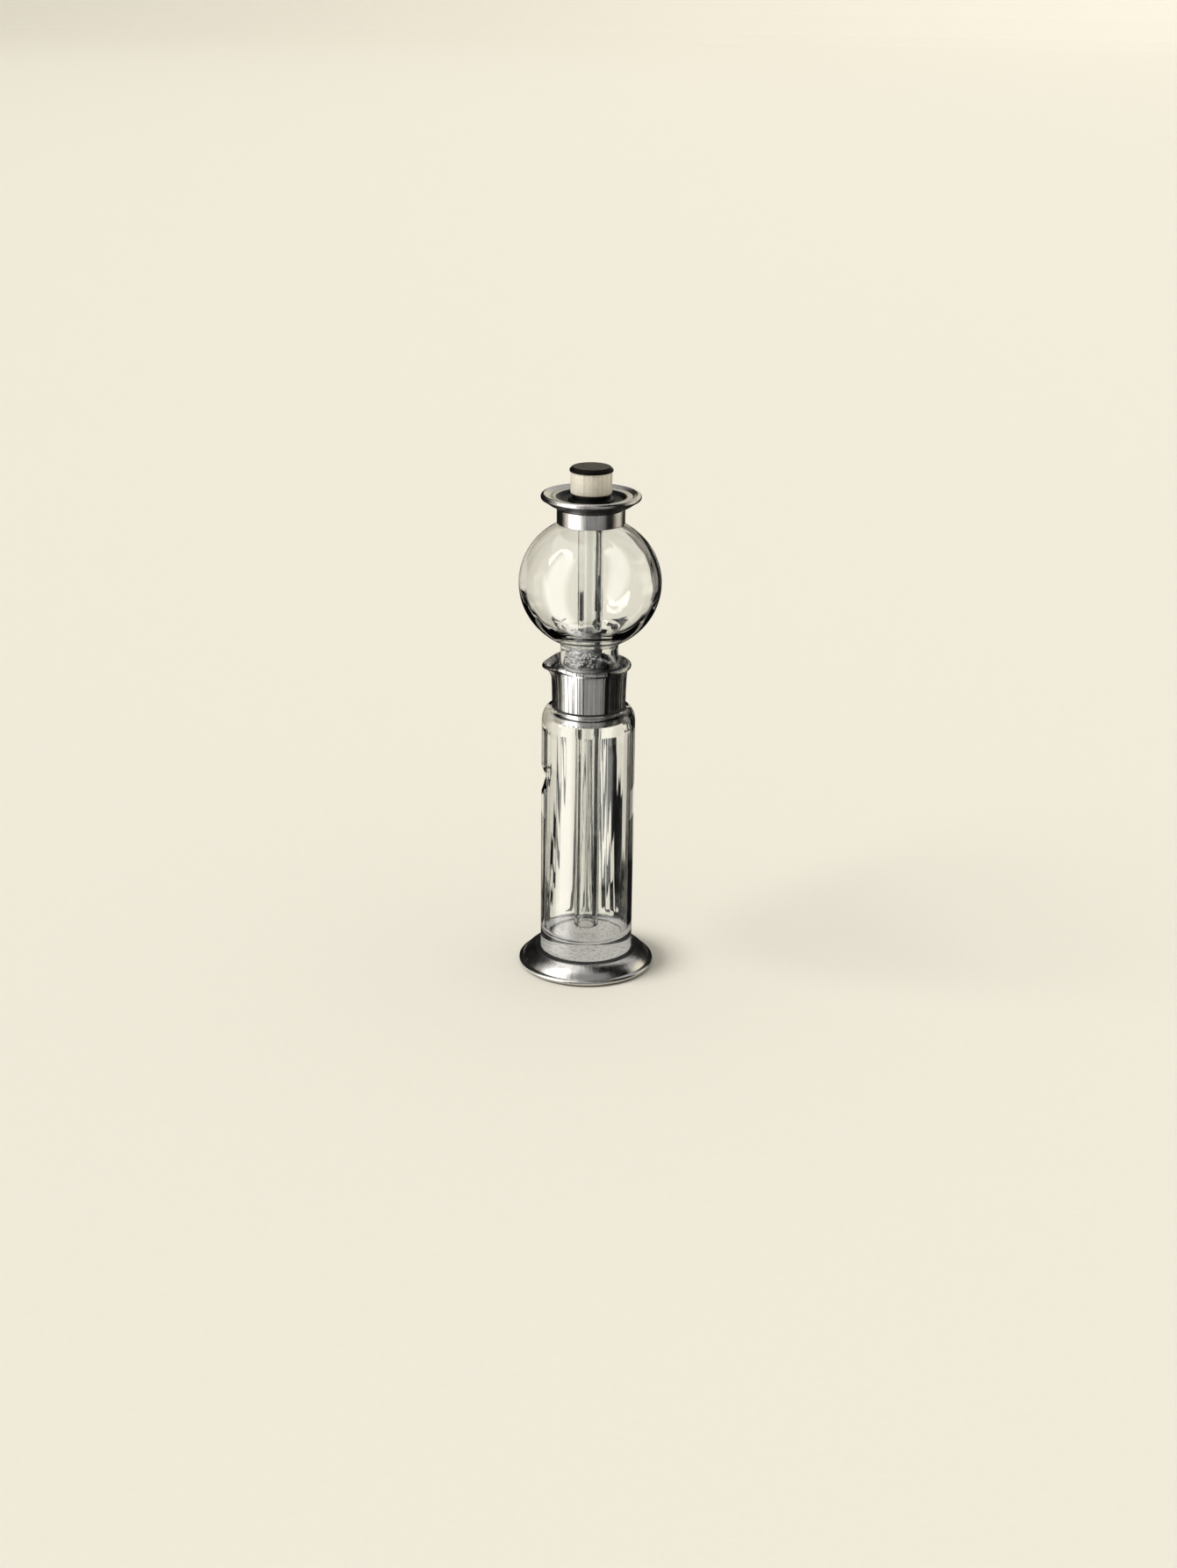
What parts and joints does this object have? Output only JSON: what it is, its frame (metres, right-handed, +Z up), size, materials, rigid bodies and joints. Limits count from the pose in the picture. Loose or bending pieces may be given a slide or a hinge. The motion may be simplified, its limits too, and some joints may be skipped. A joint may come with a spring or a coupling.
{
  "type": "laboratory gas apparatus",
  "caption": "Table-top glass gas apparatus: tall column on a round foot, spouted metal cup, glass globe, long inner tube, saucer cap and stopper.",
  "frame": {"origin": "on the column's axis, at the surface that the foot stands on", "axes": "+Z up along the column's axis, -X towards the pouring lip and the side port, -Y towards the viewer"},
  "size_m": [0.075, 0.075, 0.278],
  "materials": {
    "baize": "felted",
    "cork": "fine cork",
    "pitch": "poured pitch cement",
    "column_glass": "clear blown glass",
    "globe_glass": "clear blown glass",
    "tube_glass": "clear drawn glass",
    "black_rubber": "aged rubber",
    "plated_metal": "worn nickel plate",
    "porcelain": "glazed porcelain",
    "glass_wool": "fibrous",
    "plaster": "set plaster",
    "pin_brass": "bright",
    "pale_wood": "turned boxwood, waxed",
    "ebonite": "polished hard rubber"
  },
  "bodies": {
    "stand": {"foot": "plated_metal", "foot_pad": "baize", "plaster_bed": "plaster", "bedding_ring": "pitch", "column": "column_glass", "mouth_gasket": "black_rubber"},
    "cup": {"neck_cup": "plated_metal", "cup_sleeve": "plated_metal"},
    "bulb": {"globe": "globe_glass", "bung": "black_rubber", "strainer_disc": "porcelain", "glass_wool": "glass_wool", "centre_tube": "tube_glass", "neck_bush": "cork", "collar_cement": "plaster", "collar": "plated_metal"},
    "cap": {"cap_gasket": "black_rubber", "saucer": "plated_metal", "throat": "plated_metal"},
    "stopper": {"stopper_plug": "cork", "stopper_pin": "pin_brass", "stopper_head": "pale_wood", "stopper_cap": "ebonite"}
  },
  "joints": [
    {"name": "cup_lift", "type": "slide", "parent": "stand", "child": "cup", "axis": [0, 0, 1], "range_m": [0, 0.016]},
    {"name": "globe_lift", "type": "slide", "parent": "cup", "child": "bulb", "axis": [0, 0, 1], "range_m": [0, 0.155]},
    {"name": "cap_lift", "type": "slide", "parent": "bulb", "child": "cap", "axis": [0, 0, 1], "range_m": [0, 0.012]},
    {"name": "stopper_pull", "type": "slide", "parent": "cap", "child": "stopper", "axis": [0, 0, 1], "range_m": [0, 0.014]}
  ]
}
